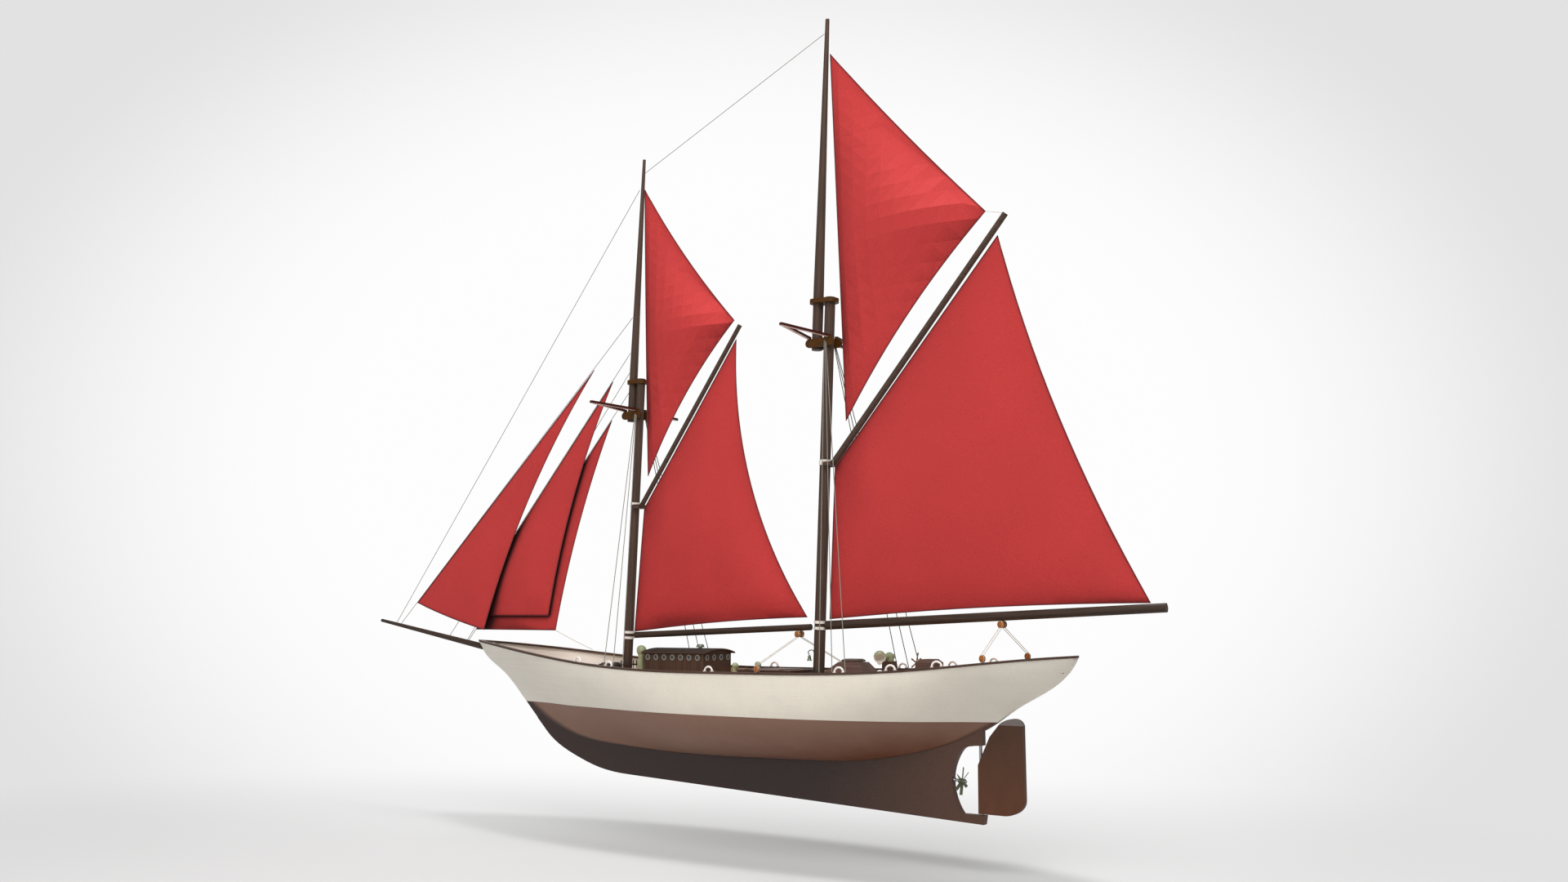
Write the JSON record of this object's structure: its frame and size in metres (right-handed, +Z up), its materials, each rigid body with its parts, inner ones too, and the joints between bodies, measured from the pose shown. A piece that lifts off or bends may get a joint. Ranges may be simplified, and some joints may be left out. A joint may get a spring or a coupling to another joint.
{
  "type": "rc sailboat",
  "caption": "Radio-controlled gaff schooner: long-keel hull with lead in the fin, raked masts with boomed gaff sails, topsails and headsails, deck fittings, and sail and rudder gear inside.",
  "frame": {"origin": "a point on the centreline of the keel's flat underside, near the middle of its length", "axes": "+X forward to the bow, +Y to port, +Z up; the load waterline is level, 121 mm above the origin"},
  "size_m": [1.4908, 0.2406, 1.2044],
  "materials": {
    "hull_paint": "glass-fibre moulding, cream topsides over a brown bottom",
    "deck_planks": "light planked deck, satin",
    "dark_wood": "dark stained, satin",
    "lead": "cast lead, dull",
    "spar_wood": "dark varnished spars",
    "golden_wood": "oiled golden brown",
    "red_wood": "red-brown varnish",
    "white_fittings": "white enamel",
    "rigging_line": "twisted beige cord",
    "sailcloth": "fine woven red cotton, matt",
    "block_wood": "orange-brown varnish",
    "roof_canvas": "painted canvas, brown",
    "grey_metal": "dull grey metal",
    "window_glass": "clear",
    "vent_paint": "sage green enamel",
    "bell_metal": "dulled brass",
    "dark_iron": "black iron",
    "rudder_paint": "brown antifouling over wood",
    "black_plastic": "moulded",
    "white_plastic": "moulded",
    "motor_can": "plated can",
    "plywood": "birch plywood, sealed",
    "battery_sleeve": "shrink sleeve"
  },
  "bodies": {
    "root": {"hull_shell": "hull_paint", "deck": "deck_planks", "cap_rail": "dark_wood", "keel_ballast": "lead", "bowsprit": "spar_wood", "fore_lower_mast": "spar_wood", "fore_topmast": "spar_wood", "main_lower_mast": "spar_wood", "main_topmast": "spar_wood", "mast_caps": "golden_wood", "crosstrees": "red_wood", "mast_fittings": "white_fittings", "headstays": "rigging_line", "shrouds": "rigging_line", "main_sheet": "rigging_line", "fore_sheet": "rigging_line", "deck_blocks": "block_wood", "cowl_vents": "vent_paint", "skylight": "dark_wood", "binnacle_stand": "dark_wood", "binnacle_dome": "vent_paint", "wheel_box": "dark_wood", "fairleads": "white_fittings", "windlass_frame": "dark_iron", "rudder_servo": "black_plastic", "stern_tube": "bell_metal", "motor": "motor_can", "radio_tray": "plywood", "battery_pack": "battery_sleeve", "sail_winch": "black_plastic", "receiver": "black_plastic"},
    "main_sail_set": {"main_boom": "spar_wood", "main_gaff": "spar_wood", "mainsail": "sailcloth", "main_topsail": "sailcloth", "main_boom_blocks": "block_wood"},
    "fore_sail_set": {"fore_boom": "spar_wood", "fore_gaff": "spar_wood", "foresail": "sailcloth", "fore_topsail": "sailcloth", "fore_boom_blocks": "block_wood"},
    "flying_jib": {"flying_jib": "sailcloth"},
    "jib": {"jib": "sailcloth"},
    "fore_staysail": {"fore_staysail": "sailcloth"},
    "rudder": {"rudder_blade": "rudder_paint", "rudder_stock": "grey_metal"},
    "servo_horn": {"servo_horn": "black_plastic"},
    "pushrod": {"pushrod": "grey_metal"},
    "drive_line": {"propeller": "bell_metal", "prop_shaft": "grey_metal"},
    "deckhouse": {"deckhouse_walls": "dark_wood", "deckhouse_roof": "roof_canvas", "porthole_rims": "grey_metal", "porthole_glass": "window_glass", "roof_vent": "vent_paint"},
    "skylight_lid": {"skylight_lid": "dark_wood"},
    "steering_wheel": {"steering_wheel": "golden_wood"},
    "bell": {"ship_bell": "bell_metal"},
    "windlass_barrel": {"windlass_barrel": "dark_iron"},
    "winch_drum": {"winch_drum": "white_plastic"}
  },
  "joints": [
    {"name": "main_boom_swing", "type": "hinge", "parent": "root", "child": "main_sail_set", "pos_m": [-0.0546, 0, 0.2494], "axis": [-0.0415, 0, 0.9991], "range_deg": [-40, 40], "deforming": ["main_sheet"]},
    {"name": "fore_boom_swing", "type": "hinge", "parent": "root", "child": "fore_sail_set", "pos_m": [0.31226, 0, 0.2336], "axis": [-0.0415, 0, 0.9991], "range_deg": [-40, 40], "deforming": ["fore_sheet"]},
    {"name": "flying_jib_swing", "type": "hinge", "parent": "root", "child": "flying_jib", "pos_m": [0.871, 0, 0.2488], "axis": [0.7334, 0, -0.6798], "range_deg": [-2, 18]},
    {"name": "jib_swing", "type": "hinge", "parent": "root", "child": "jib", "pos_m": [0.7384, 0, 0.2268], "axis": [0.6608, 0, -0.7506], "range_deg": [-2, 18]},
    {"name": "staysail_swing", "type": "hinge", "parent": "root", "child": "fore_staysail", "pos_m": [0.689, 0, 0.2185], "axis": [0.6618, 0, -0.7496], "range_deg": [-2, 18]},
    {"name": "rudder_turn", "type": "hinge", "parent": "root", "child": "rudder", "pos_m": [-0.3085, 0, 0.121], "axis": [0, 0, 1], "range_deg": [-35, 35]},
    {"name": "servo_turn", "type": "hinge", "parent": "root", "child": "servo_horn", "pos_m": [-0.208, 0, 0.155], "axis": [0, 0, 1], "range_deg": [-36, 36]},
    {"name": "pushrod_turn", "type": "hinge", "parent": "servo_horn", "child": "pushrod", "pos_m": [-0.208, 0.016, 0.157], "axis": [0, 0, 1], "range_deg": [-36, 36]},
    {"name": "propeller_spin", "type": "hinge", "parent": "root", "child": "drive_line", "pos_m": [-0.2807, 0, 0.0406], "axis": [0.9925, 0, 0.1219], "continuous": true},
    {"name": "deckhouse_lift", "type": "slide", "parent": "root", "child": "deckhouse", "axis": [0, 0, 1], "range_m": [0, 0.008]},
    {"name": "skylight_lid_tilt", "type": "hinge", "parent": "root", "child": "skylight_lid", "pos_m": [-0.0975, 0, 0.1974], "axis": [0, 1, 0], "range_deg": [0, 70]},
    {"name": "steering_wheel_spin", "type": "hinge", "parent": "root", "child": "steering_wheel", "pos_m": [-0.213, 0, 0.1975], "axis": [1, 0, 0], "continuous": true},
    {"name": "bell_swing", "type": "hinge", "parent": "root", "child": "bell", "pos_m": [-0.0356, 0, 0.2066], "axis": [0, 1, 0], "range_deg": [-15, 15]},
    {"name": "windlass_spin", "type": "hinge", "parent": "root", "child": "windlass_barrel", "pos_m": [0.351, 0, 0.183], "axis": [0, 1, 0], "continuous": true},
    {"name": "winch_drum_turn", "type": "hinge", "parent": "root", "child": "winch_drum", "pos_m": [0.094, 0, 0.116], "axis": [0, 0, 1], "range_deg": [-540, 540]}
  ],
  "couplings": [
    {"joint": "servo_turn", "follows": "rudder_turn", "ratio": 1},
    {"joint": "pushrod_turn", "follows": "rudder_turn", "ratio": -1},
    {"joint": "jib_swing", "follows": "flying_jib_swing", "ratio": 1},
    {"joint": "staysail_swing", "follows": "flying_jib_swing", "ratio": 1}
  ]
}
